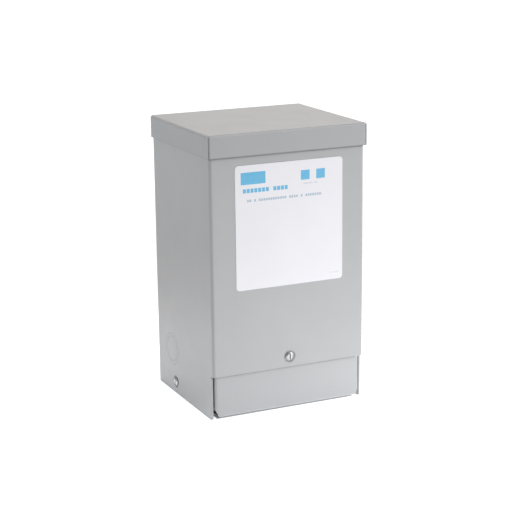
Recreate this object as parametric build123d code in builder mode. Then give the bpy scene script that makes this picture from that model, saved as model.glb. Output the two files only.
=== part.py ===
from build123d import *
import os

os.makedirs("parts", exist_ok=True)

# Small wall-mounted dry transformer in a folded sheet steel case.
# Millimetres. X runs to the right seen from the front, Y to the wall behind, Z up.
# The origin is on the floor under the middle of the overall box.

# Case: one sheet folded into the front panel and both side walls
total_height = 240.0
case_width = 139.7
case_depth = 122.5
case_sheet = 1.5
case_bend = 2.5
front_panel_edge = 38.5
wall_setback = 4.9
wall_toe_round = 2.5

# Cap: a shallow lid folded down over the case on all four sides
cap_sheet = 0.9
cap_drop = 18.8
cap_bend = 2.0
cap_front_overhang = 1.8
cap_lap_gap = 0.1
cap_top_gap = 0.8
cap_tab_length = 14.0
cap_tab_bend = 1.7
cap_corner_gap = 0.9
cap_rear_gap = 0.4

# Back panel: set in from the rear edges of the side walls
back_sheet = 1.5
back_bend = 3.0
back_recess = 8.0
back_side_gap = 0.2
back_top_gap = 0.4
back_edge_gap = 0.6

# Bottom cover: front strip with side returns, floor, side flanges and rear flange
cover_sheet = 1.5
cover_bend = 2.5
cover_rise = 2.0
strip_lap = 18.0
strip_return = 8.0
strip_corner_width = 3.6
strip_corner_height = 8.5
strip_corner_round = 3.0
strip_corner_easing = 18.0
strip_corner_reach = 0.15
flange_height = 18.0
flange_relief = 1.5
rear_flange_height = 10.0
rear_flange_inset = 8.0
rear_flange_gap = 0.3

# Potted block: the core and coils cast in compound
block_strip_gap = 8.0
block_gap = 0.2
block_corner = 2.0

# Label plate on the front panel
label_width = 97.4
label_height = 103.9
label_corner = 3.0
label_thickness = 0.2
label_drop = 7.6
label_shift = 0.8

# Slotted pan head screws
screw_radius = 1.75
screw_head_radius = 3.45
screw_head_height = 2.0
screw_head_crown = 0.7
screw_head_bevel = 1.0
screw_slot_width = 1.1
screw_slot_depth = 1.0
screw_hole_gap = 0.4
screw_thread_gap = 0.1

# Dimples of the case that the screw heads sit in, their backs against the bottom cover
dimple_radius = 5.5
dimple_depth = 1.1
dimple_taper = 45.0
dimple_seat_gap = 0.1

# Front screw above the panel's lower edge, with a square nut behind the strip
front_screw_rise = 9.0
front_screw_length = 12.0
nut_width = 8.0
nut_thickness = 3.0

# Side screws low in the side walls
side_screw_rear_inset = 39.0
side_screw_rise = 8.5
side_screw_length = 10.0

# Knockouts: a slug inside a ring, held in the sheet by small tabs
knockout_rear_inset = 31.9
knockout_flange_gap = 4.6
knockout_ring_radius = 14.3
knockout_slug_radius = 11.1
knockout_slit = 0.2
knockout_tab_width = 2.0
knockout_ring_tab_angle = 90.0
knockout_slug_tab_angle = 0.0
floor_knockout_x = 32.0
floor_knockout_y = 4.0

# Mounting brackets: hat sections on the back panel, flush with the rear edges
bracket_sheet = 2.0
bracket_bend = 3.0
bracket_foot = 9.0
bracket_side_gap = 4.65
bracket_cap_gap = 1.7
upper_bracket_height = 34.0
lower_bracket_height = 24.0
lower_bracket_rise = 18.2
bolt_inset = 10.55
bolt_hole_radius = 3.5
keyhole_entry_radius = 6.35
keyhole_edge = 11.5
keyhole_rise = 11.0

# Places worked out from the sizes above
overall_depth = case_depth + cap_front_overhang
rear_y = overall_depth / 2
front_y = rear_y - case_depth
wall_x = case_width / 2
inner_wall_x = wall_x - case_sheet
cap_under = total_height - cap_sheet
cap_lip = total_height - cap_drop
case_top = cap_under - cap_top_gap
cap_front = front_y - cap_front_overhang
cap_tab_x = wall_x + cap_lap_gap + cap_sheet
cap_side_x = cap_tab_x + cap_lap_gap + cap_sheet
cover_gap = dimple_depth + dimple_seat_gap
strip_front = front_y + case_sheet + cover_gap
strip_top = front_panel_edge + strip_lap
cover_half = inner_wall_x - cover_gap
back_rear = rear_y - back_recess
back_front = back_rear - back_sheet
back_half = inner_wall_x - back_side_gap
back_inner_half = back_half - back_sheet
cover_rear = back_front - rear_flange_gap
flange_start = strip_front + strip_return + flange_relief
flange_end = cover_rear - cover_bend - flange_relief
flange_top = cover_rise + flange_height
rear_flange_top = cover_rise + rear_flange_height
screw_hole_radius = screw_radius + screw_hole_gap
thread_radius = screw_radius + screw_thread_gap
front_screw_z = front_panel_edge + front_screw_rise
side_screw_y = rear_y - side_screw_rear_inset
side_screw_z = cover_rise + side_screw_rise
knockout_y = rear_y - knockout_rear_inset
knockout_z = flange_top + knockout_flange_gap + knockout_ring_radius
bracket_foot_x = back_inner_half - bracket_side_gap
bracket_leg_x = bracket_foot_x + bracket_sheet - bracket_foot
bolt_x = bracket_leg_x - bolt_inset
upper_bracket_bottom = cap_lip - bracket_cap_gap - upper_bracket_height
keyhole_entry_z = upper_bracket_bottom + keyhole_edge
keyhole_seat_z = keyhole_entry_z + keyhole_rise
lower_bolt_z = lower_bracket_rise + lower_bracket_height / 2

# Planes on outer faces, facing outward
front_plane = Plane.XZ.offset(-front_y)
rear_plane = Plane(origin=(0, rear_y, 0), x_dir=(-1, 0, 0), z_dir=(0, 1, 0))
front_screw_plane = Plane(origin=(0, front_y, front_screw_z), x_dir=(1, 0, 0), z_dir=(0, -1, 0))
sides = {"left": -1, "right": 1}


def wall_plane(side, y, z):
    """A plane on the outer face of a side wall, facing outward."""
    return Plane(origin=(side * wall_x, y, z), x_dir=(0, 1, 0), z_dir=(side, 0, 0))


def floor_plane(side):
    """A plane on the underside of the bottom cover at one of its knockouts, facing down."""
    return Plane(origin=(side * floor_knockout_x, floor_knockout_y, cover_rise), z_dir=(0, 0, -1))


def folded_section(plane, points, radii, sheet, side=Side.LEFT):
    """The section of a bent sheet: one face runs through the points, the sheet lies to one side."""
    with BuildSketch(plane) as section:
        with BuildLine():
            FilletPolyline(*points, radius=radii)
            offset(amount=sheet, side=side)
        make_face()
    return section.sketch


def dimple_form(seat):
    """The form of a dimple: a shallow tapered disc that goes in from the plane."""
    with BuildPart() as form:
        with BuildSketch(seat):
            Circle(dimple_radius)
        extrude(amount=-dimple_depth, taper=dimple_taper)
    return form.part


def press_dimple(seat):
    """Press a dimple with a screw hole into the case, as deep at its back as at its face."""
    add(dimple_form(seat.offset(-case_sheet)))
    add(dimple_form(seat), mode=Mode.SUBTRACT)
    with Locations(seat):
        Hole(radius=screw_hole_radius, depth=2 * (case_sheet + dimple_depth))


def pan_head_screw(seat, length):
    """A slotted screw whose head sits on the plane and whose shank goes in behind it."""
    outward = Axis(seat.origin, seat.z_dir)
    with BuildPart() as screw:
        with BuildSketch(seat):
            Circle(screw_head_radius)
        extrude(amount=screw_head_height)
        head_top = screw.faces().sort_by(outward)[-1]
        chamfer(head_top.edges(), length=screw_head_bevel, length2=screw_head_crown, reference=head_top)
        with BuildSketch(seat.offset(screw_head_height)):
            Rectangle(screw_slot_width, 2 * screw_head_radius)
        extrude(amount=-screw_slot_depth, mode=Mode.SUBTRACT)
        with BuildSketch(seat):
            Circle(screw_radius)
        extrude(amount=-length)
    return screw.part


def knockout_blank(plane, radius, inner_radius, sheet, tab_angle):
    """A round blank in its hole, apart from it by the slit and held at two tabs."""
    with BuildPart() as blank:
        with BuildSketch(plane):
            Circle(radius)
            Rectangle(2 * radius, knockout_tab_width, rotation=tab_angle, mode=Mode.INTERSECT)
            Circle(radius - knockout_slit)
            if inner_radius:
                Circle(inner_radius, mode=Mode.SUBTRACT)
        extrude(amount=-sheet)
    return blank.part


def hat_bracket(bottom, height):
    """A bracket with a face flush with the rear edges, two legs and two feet on the back panel."""
    foot_y = back_rear + bracket_sheet
    points = [
        (-bracket_foot_x, foot_y),
        (-bracket_leg_x, foot_y),
        (-bracket_leg_x, rear_y),
        (bracket_leg_x, rear_y),
        (bracket_leg_x, foot_y),
        (bracket_foot_x, foot_y),
    ]
    inner_bend = bracket_bend - bracket_sheet
    radii = [inner_bend, bracket_bend, bracket_bend, inner_bend]
    with BuildPart() as hat:
        extrude(folded_section(Plane.XY.offset(bottom), points, radii, bracket_sheet, Side.RIGHT), amount=height)
    return hat.part


def cap_front_flange():
    """The front flange of the cap with both tabs, rounded off at the top towards the front and the sides."""
    tab_rear = cap_front + cap_tab_length
    tab_points = [(-cap_tab_x, tab_rear), (-cap_tab_x, cap_front), (cap_tab_x, cap_front), (cap_tab_x, tab_rear)]
    with BuildPart() as flange:
        extrude(folded_section(Plane.XY.offset(cap_lip), tab_points, cap_tab_bend, cap_sheet), amount=cap_drop)
        with BuildSketch(Plane.YZ) as side_outline:
            with Locations(((cap_front + tab_rear) / 2, (cap_lip + total_height) / 2)):
                Rectangle(cap_tab_length, cap_drop)
            fillet(side_outline.vertices().group_by(Axis.Y)[-1].sort_by(Axis.X)[0], radius=cap_bend)
        extrude(amount=cap_tab_x, both=True, mode=Mode.INTERSECT)
        with BuildSketch(Plane.XZ.offset(-tab_rear)) as front_outline:
            with Locations((0, (cap_lip + total_height) / 2)):
                Rectangle(2 * cap_tab_x, cap_drop)
            fillet(front_outline.vertices().group_by(Axis.Y)[-1], radius=cap_bend)
        extrude(amount=cap_tab_length, mode=Mode.INTERSECT)
    return flange.part


def strip_outline():
    """The outline that cuts the lower corners of the front strip, narrow and tall, in its own plane."""
    corner_x = cover_half - strip_corner_width
    corner_z = cover_rise + strip_corner_height
    edge_x = cover_half + strip_corner_reach
    points = [
        (-edge_x, corner_z),
        (-corner_x, cover_rise),
        (corner_x, cover_rise),
        (edge_x, corner_z),
        (edge_x, strip_top),
        (-edge_x, strip_top),
    ]
    with BuildSketch(Plane.XZ.offset(-strip_front)) as outline:
        with BuildLine():
            Polyline(*points, close=True)
        make_face()
        lower_ends, upper_ends = outline.vertices().group_by(Axis.Y)[:2]
        fillet(lower_ends, radius=strip_corner_round)
        fillet(upper_ends, radius=strip_corner_easing)
    return outline.sketch


# Case wrap
with BuildPart() as case_wrap:
    wrap_points = [(-wall_x, rear_y), (-wall_x, front_y), (wall_x, front_y), (wall_x, rear_y)]
    extrude(folded_section(Plane.XY, wrap_points, case_bend, case_sheet), amount=case_top)
    # The front panel stops above the bottom strip, and the walls step back below it
    with BuildSketch(Plane.XY):
        with Locations((0, front_y)):
            Rectangle(case_width, 2 * wall_setback)
    extrude(amount=front_panel_edge, mode=Mode.SUBTRACT)
    wall_toes = case_wrap.edges().filter_by(Axis.X).group_by(Axis.Z)[0].group_by(Axis.Y)[0]
    fillet(wall_toes, radius=wall_toe_round)
    # Screw dimples and knockout holes
    press_dimple(front_screw_plane)
    for side in sides.values():
        press_dimple(wall_plane(side, side_screw_y, side_screw_z))
        with Locations(wall_plane(side, knockout_y, knockout_z)):
            Hole(radius=knockout_ring_radius, depth=2 * case_sheet)
case_wrap.part.label = "case_wrap"
export_step(case_wrap.part, "parts/case_wrap.step")

# Back panel
with BuildPart() as back_panel:
    back_edge = rear_y - back_edge_gap
    back_points = [(-back_half, back_edge), (-back_half, back_front), (back_half, back_front), (back_half, back_edge)]
    extrude(folded_section(Plane.XY, back_points, back_bend, back_sheet), amount=case_top - back_top_gap)
back_panel.part.label = "back_panel"
export_step(back_panel.part, "parts/back_panel.step")

# Top cap
with BuildPart() as top_cap:
    # Top plate with the two side flanges
    side_points = [(-cap_side_x, cap_lip), (-cap_side_x, total_height)]
    side_points += [(cap_side_x, total_height), (cap_side_x, cap_lip)]
    side_fold = folded_section(Plane.XZ.offset(-rear_y), side_points, cap_bend, cap_sheet, Side.RIGHT)
    extrude(side_fold, amount=overall_depth - cap_corner_gap)
    # Front bend, between the corner tabs
    front_points = [(front_y + cap_tab_length, total_height), (cap_front, total_height), (cap_front, cap_lip)]
    front_fold = folded_section(Plane.YZ, front_points, cap_bend, cap_sheet)
    extrude(front_fold, amount=cap_tab_x - cap_tab_bend, both=True)
    # Front flange with its ends bent back inside the side flanges, its corners closed at the top
    add(cap_front_flange())
    # Rear flange, tucked in between the flanges of the back panel
    rear_points = [(rear_y - cap_tab_length, total_height), (rear_y, total_height), (rear_y, cap_lip)]
    rear_fold = folded_section(Plane.YZ, rear_points, cap_bend, cap_sheet, Side.RIGHT)
    extrude(rear_fold, amount=back_inner_half - cap_rear_gap, both=True)
top_cap.part.label = "top_cap"
export_step(top_cap.part, "parts/top_cap.step")

# Bottom cover
with BuildPart() as bottom_cover:
    # Front strip with its side returns, and its lower corners cut back
    return_end = strip_front + strip_return
    return_points = [(-cover_half, return_end), (-cover_half, strip_front)]
    return_points += [(cover_half, strip_front), (cover_half, return_end)]
    strip_fold = folded_section(Plane.XY.offset(cover_rise + cover_bend), return_points, cover_bend, cover_sheet)
    extrude(strip_fold, amount=strip_top - cover_rise - cover_bend)
    # Bend between the strip and the floor
    bend_points = [(strip_front, strip_top), (strip_front, cover_rise), (flange_start, cover_rise)]
    bend_fold = folded_section(Plane.YZ, bend_points, cover_bend, cover_sheet)
    extrude(bend_fold, amount=cover_half - cover_bend, both=True)
    extrude(strip_outline(), amount=strip_front - flange_start, mode=Mode.INTERSECT)
    # Floor with the side flanges
    flange_points = [(-cover_half, flange_top), (-cover_half, cover_rise)]
    flange_points += [(cover_half, cover_rise), (cover_half, flange_top)]
    floor_fold = folded_section(Plane.XZ.offset(-flange_start), flange_points, cover_bend, cover_sheet)
    extrude(floor_fold, amount=flange_start - flange_end)
    # Rear flange
    rear_flange_points = [(flange_start, cover_rise), (cover_rear, cover_rise), (cover_rear, rear_flange_top)]
    rear_flange_fold = folded_section(Plane.YZ, rear_flange_points, cover_bend, cover_sheet)
    extrude(rear_flange_fold, amount=cover_half - rear_flange_inset, both=True)
    # Screw holes behind the dimples of the case, and the knockout holes
    with Locations(front_screw_plane.offset(front_y - strip_front)):
        Hole(radius=screw_hole_radius, depth=2 * cover_sheet)
    for side in sides.values():
        with Locations(wall_plane(side, side_screw_y, side_screw_z).offset(cover_half - wall_x)):
            Hole(radius=thread_radius, depth=2 * cover_sheet)
        with Locations(floor_plane(side)):
            Hole(radius=knockout_ring_radius, depth=2 * cover_sheet)
bottom_cover.part.label = "bottom_cover"
export_step(bottom_cover.part, "parts/bottom_cover.step")

# Potted block
with BuildPart() as potted_core_block:
    block_bottom = strip_top + block_strip_gap
    block_top = cap_under - block_gap
    block_front = front_y + case_sheet + block_gap
    block_rear = back_front - block_gap
    with BuildSketch(Plane.XY.offset(block_bottom)):
        with Locations((0, (block_front + block_rear) / 2)):
            Rectangle(2 * (inner_wall_x - block_gap), block_rear - block_front)
    extrude(amount=block_top - block_bottom)
    fillet(potted_core_block.edges().filter_by(Axis.Z), radius=block_corner)
potted_core_block.part.label = "potted_core_block"
export_step(potted_core_block.part, "parts/potted_core_block.step")

# Label plate
with BuildPart() as rating_label:
    with BuildSketch(front_plane):
        with Locations((label_shift, cap_lip - label_drop - label_height / 2)):
            RectangleRounded(label_width, label_height, label_corner)
    extrude(amount=label_thickness)
rating_label.part.label = "rating_label"
export_step(rating_label.part, "parts/rating_label.step")

# Upper bracket with two keyholes: a wide entry and a narrow slot that rises from it
with BuildPart() as upper_mount_bracket:
    add(hat_bracket(upper_bracket_bottom, upper_bracket_height))
    for side in sides.values():
        with BuildSketch(rear_plane):
            with Locations((side * bolt_x, keyhole_entry_z)):
                Circle(keyhole_entry_radius)
            with Locations((side * bolt_x, (keyhole_entry_z + keyhole_seat_z) / 2)):
                SlotCenterToCenter(keyhole_rise, 2 * bolt_hole_radius, rotation=90)
        extrude(amount=-2 * bracket_sheet, mode=Mode.SUBTRACT)
upper_mount_bracket.part.label = "upper_mount_bracket"
export_step(upper_mount_bracket.part, "parts/upper_mount_bracket.step")

# Lower bracket with two round holes
with BuildPart() as lower_mount_bracket:
    add(hat_bracket(lower_bracket_rise, lower_bracket_height))
    with Locations(rear_plane):
        with Locations((-bolt_x, lower_bolt_z), (bolt_x, lower_bolt_z)):
            Hole(radius=bolt_hole_radius, depth=2 * bracket_sheet)
lower_mount_bracket.part.label = "lower_mount_bracket"
export_step(lower_mount_bracket.part, "parts/lower_mount_bracket.step")

# Square nut on the back of the strip
with BuildPart() as front_screw_nut:
    with BuildSketch(front_screw_plane.offset(front_y - strip_front - cover_sheet)):
        Rectangle(nut_width, nut_width)
        Circle(thread_radius, mode=Mode.SUBTRACT)
    extrude(amount=-nut_thickness)
front_screw_nut.part.label = "front_screw_nut"
export_step(front_screw_nut.part, "parts/front_screw_nut.step")

# Front screw, its head at the bottom of the dimple
with BuildPart() as front_screw:
    add(pan_head_screw(front_screw_plane.offset(-dimple_depth), front_screw_length))
front_screw.part.label = "front_screw"
export_step(front_screw.part, "parts/front_screw.step")

# Side screws
for side_name, side in sides.items():
    side_screw_seat = wall_plane(side, side_screw_y, side_screw_z).offset(-dimple_depth)
    with BuildPart() as side_screw:
        add(pan_head_screw(side_screw_seat, side_screw_length))
    side_screw.part.label = f"{side_name}_screw"
    export_step(side_screw.part, f"parts/{side_name}_screw.step")

# Knockouts of the side walls and of the floor
for side_name, side in sides.items():
    wall_knockout = (wall_plane(side, knockout_y, knockout_z), case_sheet)
    floor_knockout = (floor_plane(side), cover_sheet)
    for place, (seat, sheet) in {side_name: wall_knockout, f"bottom_{side_name}": floor_knockout}.items():
        with BuildPart() as knockout_ring:
            add(knockout_blank(seat, knockout_ring_radius, knockout_slug_radius, sheet, knockout_ring_tab_angle))
        knockout_ring.part.label = f"{place}_knockout_ring"
        export_step(knockout_ring.part, f"parts/{place}_knockout_ring.step")
        with BuildPart() as knockout_slug:
            add(knockout_blank(seat, knockout_slug_radius, 0, sheet, knockout_slug_tab_angle))
        knockout_slug.part.label = f"{place}_knockout_slug"
        export_step(knockout_slug.part, f"parts/{place}_knockout_slug.step")
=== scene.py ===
import math

import bpy
from mathutils import Matrix, Vector


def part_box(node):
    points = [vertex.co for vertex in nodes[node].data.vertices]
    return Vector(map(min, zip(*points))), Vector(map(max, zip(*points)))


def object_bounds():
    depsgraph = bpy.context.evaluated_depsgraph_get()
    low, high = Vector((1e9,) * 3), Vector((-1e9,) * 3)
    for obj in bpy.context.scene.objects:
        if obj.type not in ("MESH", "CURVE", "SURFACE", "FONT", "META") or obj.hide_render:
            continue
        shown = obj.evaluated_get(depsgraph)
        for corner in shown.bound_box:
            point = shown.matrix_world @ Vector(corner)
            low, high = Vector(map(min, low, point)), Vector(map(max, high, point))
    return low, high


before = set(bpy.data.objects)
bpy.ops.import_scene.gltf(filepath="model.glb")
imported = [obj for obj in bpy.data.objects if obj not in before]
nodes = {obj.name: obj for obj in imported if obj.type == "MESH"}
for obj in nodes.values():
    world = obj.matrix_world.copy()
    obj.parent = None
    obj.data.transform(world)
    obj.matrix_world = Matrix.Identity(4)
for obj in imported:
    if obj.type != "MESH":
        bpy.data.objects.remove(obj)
cad_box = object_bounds()
scene = bpy.context.scene

# Lengths are in metres and angles in degrees, unless a comment says otherwise.
# A noise is a scale per metre, a detail and a roughness, a bump is a height and a strength,
# and any other pair of numbers is a range. Tones are shares of a finish's own colour.

# Camera: its place in the part's frame, its direction, and its lens, with the sensor's width
# in millimetres
CAMERA_PLACE = Vector((-0.5275, -1.1414, 0.4377))
CAMERA_AZIMUTH = -24.905
CAMERA_ELEVATION = 14.342
CAMERA_ROLL = -0.633
CAMERA_CLIP = (0.05, 50.0)
IMAGE_WIDTH = 522
FOCAL_PIXELS = 1504.0
SENSOR = 36.0

# Colours
PAINT = (0.396, 0.404, 0.417)
FILM = (0.738, 0.736, 0.776)
PRINT_BLUE = (0.10, 0.42, 0.66)
PRINT_GREY = (0.36, 0.45, 0.55)
ZINC = (0.44, 0.445, 0.445)
BLUE_ZINC = (0.40, 0.41, 0.43)
ZINC_UPWARD_HIGHLIGHT = (0.72, 0.72, 0.73)
SCUFFED_ZINC = (0.32, 0.32, 0.33)
ZINC_CREVICE_SHADE = (0.26, 0.26, 0.265)
COMPOUND = (0.035, 0.036, 0.04)
FLOOR_TONES = ((0.86, 0.86, 0.86), (0.9, 0.9, 0.9))
FLOOR_GLOW = (0.97, 0.985, 1.0)
WHITE = (1.0, 1.0, 1.0)
WARM_WHITE = (1.0, 0.95, 0.90)

# Shared by the finishes: where most of a noise's values lie, and how open to its surroundings
# a surface is between the depth of a crevice and its mouth
CLOUD_RANGE = (0.3, 0.7)
CREVICE_RANGE = (0.6, 0.85)
CREVICE_SAMPLES = 8

# Enamel
MOTTLE = (22.0, 3.0)
SPECK = (1400.0, 2.0, 0.7)
PEEL = (620.0, 2.0, 0.45)
PEEL_BUMP = (0.00006, 0.8)
GRAIN = (3200.0, 1.0)
GRAIN_BUMP = (0.00002, 0.5)
GLOSS_DRIFT = (60.0, 4.0)
ENAMEL_GLOSS = (0.36, 0.43)
ENAMEL_IOR = 1.5
MOTTLE_TONES = (0.985, 1.015)
SPECK_TONE = 0.86
SPECK_RANGE = (0.66, 0.78)
SPECK_STRENGTH = 0.14
# Painted shade on the vertical bends
BEND_SHADE_TONE = 0.9
BEND_RANGE = (0.2, 0.45)
# Painted highlight on the upper bends
CROWN_HIGHLIGHT_TONE = 1.2
CROWN_RANGE = (0.08, 0.2)
# Painted shade in the seams
SEAM_TONE = 0.22
SEAM_REACH = 0.005
SEAM_FACING = (0.2, 0.9)
SEAM_ON_SIDES = 0.35
SEAM_OFF_DIMPLE = (0.008, 0.010)
SEAM_HEIGHTS = (0.006, 0.014)
SEAM_AT_FOOT = 0.45
# Painted light in the gap at the right front of the cover, where shade would fall
GAP_LIGHT_TONE = 1.45
GAP_LIGHT_WIDTH = (0.0025, 0.0035)
GAP_LIGHT_FOOT = (0.002, 0.004)
GAP_LIGHT_TOP_FADE = 0.001
GAP_LIGHT_DEPTH = (0.010, 0.012)
# Painted shade along the lower edge of the cap
LIP_SHADE_TONE = 0.72
LIP_RISE = (0.0003, 0.0009)
# Painted shade and light: the cap's enamel is a darker copy and the cover's a lighter copy, for
# how light falls on them
CAP_SHADE = 0.92
COVER_SHADE = 1.03
COVER_SEAM_TONE = 0.32

# Label: boxes are left, top, width and height in millimetres from its upper left corner,
# and each row of bars also has its pitch, the filled share of the pitch and a seed
BLUE_ROW = ((5, 19.5, 42, 3.4), 0.0034, 0.8, 3.0)
BLUE_TILES = ((5, 6, 22, 10), (59, 8.5, 8, 8), (73, 8.5, 8, 8))
GREY_ROW = ((10, 28.4, 68, 2.0), 0.0021, 0.74, 11.0)
SMALL_ROWS = (
    ((85, 97.4, 9, 0.9), 0.0012, 0.7, 29.0),
    ((61, 19.0, 13, 1.2), 0.0014, 0.7, 41.0),
)
SKIPPED_BARS = 0.16
SMALL_PRINT_STRENGTH = 0.55
INK_BREAK = (2500.0, 1.0)
INK_BREAK_RANGE = (0.25, 0.5)
INK_BREAK_LOW = 0.75
FILM_CLOUD = (30.0, 2.0)
FILM_TONES = (0.99, 1.01)
FILM_GLOSS = (0.30, 0.36)
FILM_WAVE = (90.0, 2.0)
FILM_WAVE_BUMP = (0.0002, 0.15)
FILM_FIBRE = (2600.0, 2.0, 0.6)
FILM_FIBRE_BUMP = (0.00001, 0.5)
INK_DULLNESS = 0.08

# Screws: the direction that the head faces, and the share of the zinc's colour, which paints each
# screw lighter or darker for how light falls on it
FASTENERS = {
    "front_screw": ((0, -1, 0), 0.85),
    "front_screw_nut": ((0, -1, 0), 1.0),
    "left_screw": ((-1, 0, 0), 1.4),
    "right_screw": ((1, 0, 0), 1.0),
}
ZINC_GLOSS = (0.22, 0.42)
TINT = (500.0, 2.0)
TINT_RANGE = (0.35, 0.65)
SCUFF = (1500.0, 3.0, 0.6)
SCUFF_RANGE = (0.6, 0.75)
SCUFF_STRENGTH = 0.5
SCUFF_BUMP = (0.00002, 0.5)
# Painted highlight where the zinc faces up
UPWARD_RANGE = (0.1, 0.6)
# Painted shade in the zinc's crevices
ZINC_CREVICE_REACH = 0.0012
RING_RATE = 21000.0  # radians of the ring pattern per metre from the screw's axis
RING_BUMP = (0.000006, 0.5)

# Compound
CAST = (35.0, 4.0)
CAST_BUMP = (0.0012, 0.6)
COMPOUND_TONES = (0.8, 1.3)
COMPOUND_GLOSS = (0.45, 0.65)
PIT_SCALE = 260.0
PIT_RANGE = (0.0, 0.18)
PIT_BUMP = (0.0003, 0.6)

# Floor: a fade is a range of distances from its place, and the strengths at its two ends
FLOOR_REACH = 12.0
FLOOR_SIDES = 64
FLOOR_GAP = 0.0002
FLOOR_GRAIN = (40.0, 3.0)
FLOOR_ROUGHNESS = 0.8
GLOW_MIDDLE = (0.05, -0.05, 0.0)
GLOW_NEAR_FADE = (0.22, 0.40, 0.66, 0.0)
GLOW_FAR_FADE = (0.56, 1.1, 0.23, 0.87)
GLOW_FRONT_RIGHT = (0.14, -0.24, 0.0)
GLOW_FRONT_RIGHT_FADE = (0.08, 0.32, 0.90, 0.0)
GLOW_REAR_LEFT = (-0.17, 0.22, 0.0)
GLOW_REAR_LEFT_FADE = (0.03, 0.15, 0.42, 0.0)
DIM_LEFT = (-0.09, 0.03, 0.0)
DIM_LEFT_FADE = (0.03, 0.10, 0.84, 1.0)
DIM_REAR_LEFT = (-0.46, 0.52, 0.0)
DIM_REAR_LEFT_FADE = (0.20, 0.36, 0.0, 1.0)
UNDER_X = 0.064
UNDER_X_FADE = 0.001
UNDER_Y = 0.0528
UNDER_Y_FADE = 0.0015

# World and lights: azimuth from the front, elevation, power in watts and colour
WORLD_STRENGTH = 0.33
LIGHTS = {
    "rear_overhead": (148, 60, 4.95, WARM_WHITE),
    "overhead": (20, 82, 3.1, WARM_WHITE),
    "right": (62, 20, 2.45, WHITE),
}
LIGHT_TARGET = Vector((0.0, 0.0, 0.12))
LIGHT_DISTANCE = 0.9
LIGHT_SIZE = 0.6


def middle(box):
    """The middle of a box that is given by its two corners."""
    low, high = box
    return (low + high) / 2


# Places that the enamel follows: the screw in the front dimple, the upper end of the gap at
# the right front of the cover, and the lip of the cap
front_dimple = middle(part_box("front_screw"))
cover_low, cover_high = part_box("bottom_cover")
right_seam = Vector((cover_high.x, cover_low.y, cover_high.z))
cap_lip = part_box("top_cap")[0].z


class Tree:
    """Builds a node tree: each method adds a node or a few and returns the last one's output."""

    def __init__(self, tree):
        self.tree = tree

    def fill(self, socket, value):
        """Link an output to a socket, or write a plain value on it."""
        if isinstance(value, bpy.types.NodeSocket):
            self.tree.links.new(value, socket)
        else:
            socket.default_value = value

    def node(self, kind, inputs=(), **settings):
        """Add any node and return the node itself."""
        made = self.tree.nodes.new(kind)
        for name, value in settings.items():
            setattr(made, name, value)
        for key, value in dict(inputs).items():
            self.fill(made.inputs[key], value)
        return made

    def math(self, operation, *values):
        inputs = dict(enumerate(values))
        return self.node("ShaderNodeMath", inputs, operation=operation).outputs[0]

    def join(self, operation, first, *others):
        """One math operation over any number of values."""
        for other in others:
            first = self.math(operation, first, other)
        return first

    def absolute(self, value):
        return self.math("ABSOLUTE", value)

    def vector_math(self, operation, *values, output="Vector"):
        inputs = dict(enumerate(values))
        return self.node("ShaderNodeVectorMath", inputs, operation=operation).outputs[output]

    def axes(self, vector):
        """The x, y and z of a vector."""
        return self.node("ShaderNodeSeparateXYZ", {0: vector}).outputs

    def facing(self):
        """The x, y and z of the surface's normal."""
        return self.axes(self.node("ShaderNodeNewGeometry").outputs["Normal"])

    def span(self, where, point):
        """Distance from a point."""
        way = self.vector_math("SUBTRACT", where, point)
        return self.vector_math("LENGTH", way, output="Value")

    def radius(self, where, centre, axis):
        """Distance from a line through a centre."""
        way = self.vector_math("SUBTRACT", where, centre)
        along = self.vector_math("DOT_PRODUCT", way, axis, output="Value")
        span = self.vector_math("LENGTH", way, output="Value")
        squares = (self.math("MULTIPLY", length, length) for length in (span, along))
        return self.math("SQRT", self.math("SUBTRACT", *squares))

    def noise(self, where, scale, detail=2.0, roughness=0.5):
        inputs = {"Vector": where, "Scale": scale, "Detail": detail, "Roughness": roughness}
        return self.node("ShaderNodeTexNoise", inputs).outputs["Fac"]

    def ramp(self, value, low, high, to_low=0.0, to_high=1.0):
        """A straight change from to_low at low to to_high at high, flat beyond both."""
        inputs = {
            "Value": value,
            "From Min": low,
            "From Max": high,
            "To Min": to_low,
            "To Max": to_high,
        }
        return self.node("ShaderNodeMapRange", inputs, clamp=True).outputs[0]

    def mix(self, factor, a, b):
        """Colour a where the factor is 0, b where it is 1. The sockets go by number, because
        each name stands there once for every type of value."""
        made = self.node("ShaderNodeMix", data_type="RGBA")
        for index, value in ((0, factor), (6, a), (7, b)):
            self.fill(made.inputs[index], value)
        return made.outputs[2]

    def crevice(self, reach):
        """1 deep in a corner or gap, 0 on an open face."""
        inputs = {"Distance": reach}
        made = self.node("ShaderNodeAmbientOcclusion", inputs, samples=CREVICE_SAMPLES)
        return self.ramp(made.outputs["AO"], *CREVICE_RANGE, 1.0, 0.0)

    def bump(self, height, distance, strength, normal=None):
        inputs = {"Height": height, "Distance": distance, "Strength": strength}
        if normal is not None:
            inputs["Normal"] = normal
        return self.node("ShaderNodeBump", inputs).outputs[0]


def rgba(colour, scale=1.0):
    """A colour times a scale, at most 1, with full alpha."""
    return tuple(min(1.0, c * scale) for c in colour) + (1.0,)


def two_tones(tree, cloud, colour, tones):
    """A colour that drifts between two tones of itself with a noise."""
    low, high = (rgba(colour, tone) for tone in tones)
    return tree.mix(tree.ramp(cloud, *CLOUD_RANGE), low, high)


def new_material(name):
    """A new material with an empty node tree: the material, its tree and the object position."""
    material = bpy.data.materials.new(name)
    material.use_nodes = True
    material.node_tree.nodes.clear()
    tree = Tree(material.node_tree)
    where = tree.node("ShaderNodeTexCoord").outputs["Object"]
    return material, tree, where


def finish_material(tree, inputs):
    """Add the principled shader with these inputs, and the output."""
    shader = tree.node("ShaderNodeBsdfPrincipled", inputs)
    tree.node("ShaderNodeOutputMaterial", {"Surface": shader.outputs[0]})


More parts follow.
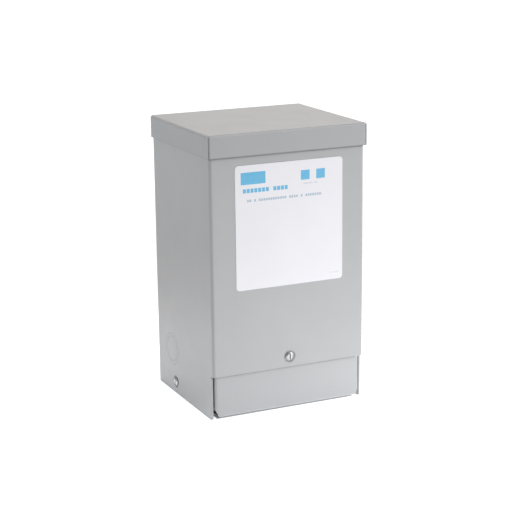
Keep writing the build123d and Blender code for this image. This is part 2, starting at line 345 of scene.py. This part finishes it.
def seam_shade_share(tree, where, place, facing):
    """How strongly painted shade darkens a seam: more on the front, little in the dimple and at
    the foot.
    """
    return tree.join(
        "MULTIPLY",
        tree.ramp(tree.absolute(facing[1]), *SEAM_FACING, SEAM_ON_SIDES, 1.0),
        tree.ramp(tree.span(where, front_dimple), *SEAM_OFF_DIMPLE),
        tree.ramp(place[2], *SEAM_HEIGHTS, SEAM_AT_FOOT, 1.0),
    )


def beside_right_seam(tree, place):
    """0 in the gap at the right front of the cover, where painted light takes the place of painted
    shade, 1 everywhere else.
    """
    across = tree.absolute(tree.math("SUBTRACT", place[0], right_seam.x))
    behind = tree.math("SUBTRACT", place[1], right_seam.y)
    return tree.join(
        "MAXIMUM",
        tree.ramp(across, *GAP_LIGHT_WIDTH),
        tree.ramp(place[2], *GAP_LIGHT_FOOT, 1.0, 0.0),
        tree.ramp(place[2], right_seam.z, right_seam.z + GAP_LIGHT_TOP_FADE),
        tree.ramp(behind, *GAP_LIGHT_DEPTH),
    )


def paint_material(name, seam, shade=1.0, lip=None):
    """Semi-gloss baked enamel: faint mottling, fine orange peel, uneven gloss, painted shade in
    seams, under a lip and on bends, a painted highlight on upper bends and painted light in one
    gap.

    seam is the painted shade's tone deep in a seam, shade scales the whole colour, and lip is
    the height of a lower edge with a line of painted shade.
    """
    material, tree, where = new_material(name)
    coat = tuple(shade * c for c in PAINT)
    place = tree.axes(where)
    facing = tree.facing()

    tone = two_tones(tree, tree.noise(where, *MOTTLE), coat, MOTTLE_TONES)
    speck = tree.ramp(tree.noise(where, *SPECK), *SPECK_RANGE, 0.0, SPECK_STRENGTH)
    tone = tree.mix(speck, tone, rgba(coat, SPECK_TONE))

    # Painted shade over the vertical bends: the normal is between x and y
    bend_shade = tree.absolute(tree.math("MULTIPLY", facing[0], facing[1]))
    tone = tree.mix(tree.ramp(bend_shade, *BEND_RANGE), tone, rgba(coat, BEND_SHADE_TONE))

    # Painted highlight over the upper bends: the normal is between level and straight up
    level_share = tree.math("SUBTRACT", 1.0, tree.absolute(facing[2]))
    crown_highlight = tree.math("MULTIPLY", facing[2], level_share)
    tone = tree.mix(tree.ramp(crown_highlight, *CROWN_RANGE), tone, rgba(coat, CROWN_HIGHLIGHT_TONE))

    # Painted shade in the seams, but painted light in the gap at the right of the cover where
    # shade would fall, because the photo shows none there
    share = seam_shade_share(tree, where, place, facing)
    beside = beside_right_seam(tree, place)
    tight = tree.crevice(SEAM_REACH)
    seam_shade = tree.join("MULTIPLY", tight, share, beside)
    tone = tree.mix(seam_shade, tone, rgba(coat, seam))
    # Painted light: the gap at the right of the cover is made lighter where shade would fall
    gap_light = tree.math("MULTIPLY", tight, tree.math("SUBTRACT", 1.0, beside))
    tone = tree.mix(gap_light, tone, rgba(coat, GAP_LIGHT_TONE))

    # Painted shade: a dark line along the cap's lower edge, weaker where little seam shade falls
    if lip is not None:
        low, high = (lip + rise for rise in LIP_RISE)
        lip_shade = tree.ramp(place[2], low, high, 1.0, 0.0)
        tone = tree.mix(tree.math("MULTIPLY", lip_shade, share), tone, rgba(coat, LIP_SHADE_TONE))

    peel = tree.noise(where, *PEEL)
    grain = tree.noise(where, *GRAIN)
    normal = tree.bump(grain, *GRAIN_BUMP, tree.bump(peel, *PEEL_BUMP))
    gloss = tree.ramp(tree.noise(where, *GLOSS_DRIFT), *CLOUD_RANGE, *ENAMEL_GLOSS)
    finish_material(
        tree, {"Base Color": tone, "Roughness": gloss, "Normal": normal, "IOR": ENAMEL_IOR}
    )
    return material


def in_box(tree, x, z, left, right, low, high):
    """1 inside a rectangle on the label, 0 outside."""
    return tree.join(
        "MULTIPLY",
        tree.math("GREATER_THAN", x, left),
        tree.math("LESS_THAN", x, right),
        tree.math("GREATER_THAN", z, low),
        tree.math("LESS_THAN", z, high),
    )


def bars(tree, x, pitch, fill, seed):
    """A row of short blocks, some of them left out, in place of print."""
    steps = tree.math("DIVIDE", x, pitch)
    inputs = {"W": tree.math("ADD", tree.math("FLOOR", steps), seed)}
    chance = tree.node("ShaderNodeTexWhiteNoise", inputs, noise_dimensions="1D").outputs["Value"]
    kept = tree.math("GREATER_THAN", chance, SKIPPED_BARS)
    return tree.math("MULTIPLY", kept, tree.math("LESS_THAN", tree.math("FRACT", steps), fill))


def label_material():
    """White film with a plain layout of bars and tiles in pale blue and grey."""
    material, tree, where = new_material("label_film")
    low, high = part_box("rating_label")
    place = tree.axes(where)
    x = tree.math("SUBTRACT", place[0], low.x)
    z = tree.math("SUBTRACT", high.z, place[2])

    def tile(left, top, width, height):
        """1 inside a box that is given in millimetres."""
        right, bottom = left + width, top + height
        return in_box(tree, x, z, left / 1000, right / 1000, top / 1000, bottom / 1000)

    def row(box, pitch, fill, seed):
        return tree.math("MULTIPLY", tile(*box), bars(tree, x, pitch, fill, seed))

    blue = tree.join("MAXIMUM", row(*BLUE_ROW), *(tile(*box) for box in BLUE_TILES))
    grey = row(*GREY_ROW)
    small = tree.join("MAXIMUM", *(row(*spec) for spec in SMALL_ROWS))
    ink_break = tree.ramp(tree.noise(where, *INK_BREAK), *INK_BREAK_RANGE, INK_BREAK_LOW, 1.0)

    cloud = tree.noise(where, *FILM_CLOUD)
    tone = two_tones(tree, cloud, FILM, FILM_TONES)
    tone = tree.mix(tree.math("MULTIPLY", blue, ink_break), tone, rgba(PRINT_BLUE))
    tone = tree.mix(tree.math("MULTIPLY", grey, ink_break), tone, rgba(PRINT_GREY))
    tone = tree.mix(tree.math("MULTIPLY", small, SMALL_PRINT_STRENGTH), tone, rgba(PRINT_GREY))

    ink = tree.math("MAXIMUM", blue, grey)
    film_gloss = tree.ramp(cloud, *CLOUD_RANGE, *FILM_GLOSS)
    gloss = tree.math("ADD", film_gloss, tree.math("MULTIPLY", ink, INK_DULLNESS))
    wave = tree.noise(where, *FILM_WAVE)
    fibre = tree.noise(where, *FILM_FIBRE)
    normal = tree.bump(fibre, *FILM_FIBRE_BUMP, tree.bump(wave, *FILM_WAVE_BUMP))
    finish_material(tree, {"Base Color": tone, "Roughness": gloss, "Normal": normal})
    return material


def zinc_material(name, centre, axis, shade):
    """Bright zinc plate with fine turned rings about the screw's axis, scuffs, a faint tint, a
    painted highlight where it faces up and painted shade in its crevices.
    """
    material, tree, where = new_material(name)
    radius = tree.radius(where, centre, axis)
    rings = tree.math("SINE", tree.math("MULTIPLY", radius, RING_RATE))
    scuff = tree.noise(where, *SCUFF)
    cloud = tree.noise(where, *TINT)

    tone = tree.mix(tree.ramp(cloud, *TINT_RANGE), rgba(ZINC, shade), rgba(BLUE_ZINC, shade))
    worn = tree.ramp(scuff, *SCUFF_RANGE, 0.0, SCUFF_STRENGTH)
    tone = tree.mix(worn, tone, rgba(SCUFFED_ZINC))
    # Painted highlight: the zinc is lighter where it faces up
    upward_highlight = tree.ramp(tree.facing()[2], *UPWARD_RANGE)
    tone = tree.mix(upward_highlight, tone, rgba(ZINC_UPWARD_HIGHLIGHT))
    # Painted shade: the zinc is darker in its crevices
    tone = tree.mix(tree.crevice(ZINC_CREVICE_REACH), tone, rgba(ZINC_CREVICE_SHADE))

    gloss = tree.ramp(scuff, *CLOUD_RANGE, *ZINC_GLOSS)
    normal = tree.bump(scuff, *SCUFF_BUMP, tree.bump(rings, *RING_BUMP))
    finish_material(
        tree, {"Base Color": tone, "Metallic": 1.0, "Roughness": gloss, "Normal": normal}
    )
    return material


def compound_material():
    """Dark cast compound, a little rough, with small bubbles."""
    material, tree, where = new_material("cast_compound")
    cloud = tree.noise(where, *CAST)
    tone = two_tones(tree, cloud, COMPOUND, COMPOUND_TONES)
    cells = tree.node("ShaderNodeTexVoronoi", {"Vector": where, "Scale": PIT_SCALE})
    pits = tree.ramp(cells.outputs["Distance"], *PIT_RANGE)
    normal = tree.bump(cloud, *CAST_BUMP, tree.bump(pits, *PIT_BUMP))
    gloss = tree.ramp(cloud, *CLOUD_RANGE, *COMPOUND_GLOSS)
    finish_material(tree, {"Base Color": tone, "Roughness": gloss, "Normal": normal})
    return material


def floor_material():
    """Pale floor that glows unevenly like a light table, but not under the object."""
    material, tree, where = new_material("pale_floor")
    from_middle = tree.span(where, GLOW_MIDDLE)
    glow = tree.join(
        "ADD",
        tree.ramp(from_middle, *GLOW_NEAR_FADE),
        tree.ramp(from_middle, *GLOW_FAR_FADE),
        tree.ramp(tree.span(where, GLOW_FRONT_RIGHT), *GLOW_FRONT_RIGHT_FADE),
    )
    glow = tree.join(
        "MULTIPLY",
        glow,
        tree.ramp(tree.span(where, DIM_LEFT), *DIM_LEFT_FADE),
        tree.ramp(tree.span(where, DIM_REAR_LEFT), *DIM_REAR_LEFT_FADE),
    )
    rear_left = tree.ramp(tree.span(where, GLOW_REAR_LEFT), *GLOW_REAR_LEFT_FADE)
    glow = tree.math("ADD", glow, rear_left)

    place = tree.axes(where)
    beside = tree.ramp(tree.absolute(place[0]), UNDER_X - UNDER_X_FADE, UNDER_X + UNDER_X_FADE)
    beyond = tree.ramp(tree.absolute(place[1]), UNDER_Y - UNDER_Y_FADE, UNDER_Y + UNDER_Y_FADE)
    glow = tree.math("MULTIPLY", glow, tree.math("MAXIMUM", beside, beyond))

    tone = tree.mix(tree.noise(where, *FLOOR_GRAIN), *(rgba(grey) for grey in FLOOR_TONES))
    inputs = {
        "Base Color": tone,
        "Roughness": FLOOR_ROUGHNESS,
        "Emission Color": rgba(FLOOR_GLOW),
        "Emission Strength": glow,
    }
    finish_material(tree, inputs)
    return material


def dress(node, material):
    """Give a node this one material."""
    nodes[node].data.materials.clear()
    nodes[node].data.materials.append(material)


# Enamel on every piece, then the other finishes where they belong
case_enamel = paint_material("case_enamel", SEAM_TONE)
for name in nodes:
    dress(name, case_enamel)
dress("top_cap", paint_material("cap_enamel", SEAM_TONE, CAP_SHADE, cap_lip))
dress("bottom_cover", paint_material("cover_enamel", COVER_SEAM_TONE, COVER_SHADE))
dress("rating_label", label_material())
dress("potted_core_block", compound_material())
for name, (axis, shade) in FASTENERS.items():
    dress(name, zinc_material(name + "_zinc", middle(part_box(name)), axis, shade))

# Floor
rim = []
for k in range(FLOOR_SIDES):
    turn = k * math.tau / FLOOR_SIDES
    rim.append((FLOOR_REACH * math.cos(turn), FLOOR_REACH * math.sin(turn), 0.0))
floor_mesh = bpy.data.meshes.new("floor")
floor_mesh.from_pydata(rim, [], [tuple(range(FLOOR_SIDES))])
floor = bpy.data.objects.new("floor", floor_mesh)
scene.collection.objects.link(floor)
floor.location.z = cad_box[0].z - FLOOR_GAP
floor_mesh.materials.append(floor_material())

# World: even soft white
world = bpy.data.worlds.new("studio")
scene.world = world
world.use_nodes = True
world.node_tree.nodes.clear()
world_tree = Tree(world.node_tree)
sky = world_tree.node("ShaderNodeBackground", {"Color": rgba(WHITE), "Strength": WORLD_STRENGTH})
world_tree.node("ShaderNodeOutputWorld", {"Surface": sky.outputs[0]})


def direction(azimuth, elevation):
    """The way out from the object, with azimuth 0 towards the front and 90 to the right."""
    a, e = math.radians(azimuth), math.radians(elevation)
    return Vector((math.sin(a) * math.cos(e), -math.cos(a) * math.cos(e), math.sin(e)))


def area_light(name, azimuth, elevation, power, colour):
    """A square soft light that looks at the middle of the object."""
    way = direction(azimuth, elevation)
    data = bpy.data.lights.new(name, "AREA")
    data.shape = "SQUARE"
    data.size = LIGHT_SIZE
    data.energy = power
    data.color = colour
    light = bpy.data.objects.new(name, data)
    light.location = LIGHT_TARGET + way * LIGHT_DISTANCE
    light.rotation_mode = "QUATERNION"
    light.rotation_quaternion = (-way).to_track_quat("-Z", "Y")
    scene.collection.objects.link(light)


for name, settings in LIGHTS.items():
    area_light(name, *settings)

# Camera
camera_data = bpy.data.cameras.new("camera")
camera_data.sensor_width = SENSOR
camera_data.lens = FOCAL_PIXELS / IMAGE_WIDTH * SENSOR
camera_data.clip_start, camera_data.clip_end = CAMERA_CLIP
camera = bpy.data.objects.new("camera", camera_data)
scene.collection.objects.link(camera)
back = direction(CAMERA_AZIMUTH, CAMERA_ELEVATION)
right = (-back).cross(Vector((0, 0, 1))).normalized()
up = right.cross(-back)
roll = math.radians(CAMERA_ROLL)
rolled_right = right * math.cos(roll) + up * math.sin(roll)
rolled_up = up * math.cos(roll) - right * math.sin(roll)
turned = Matrix((rolled_right, rolled_up, back)).transposed().to_4x4()
camera.matrix_world = Matrix.Translation(CAMERA_PLACE) @ turned
scene.camera = camera

scene.view_settings.view_transform = "Standard"
scene.view_settings.look = "None"
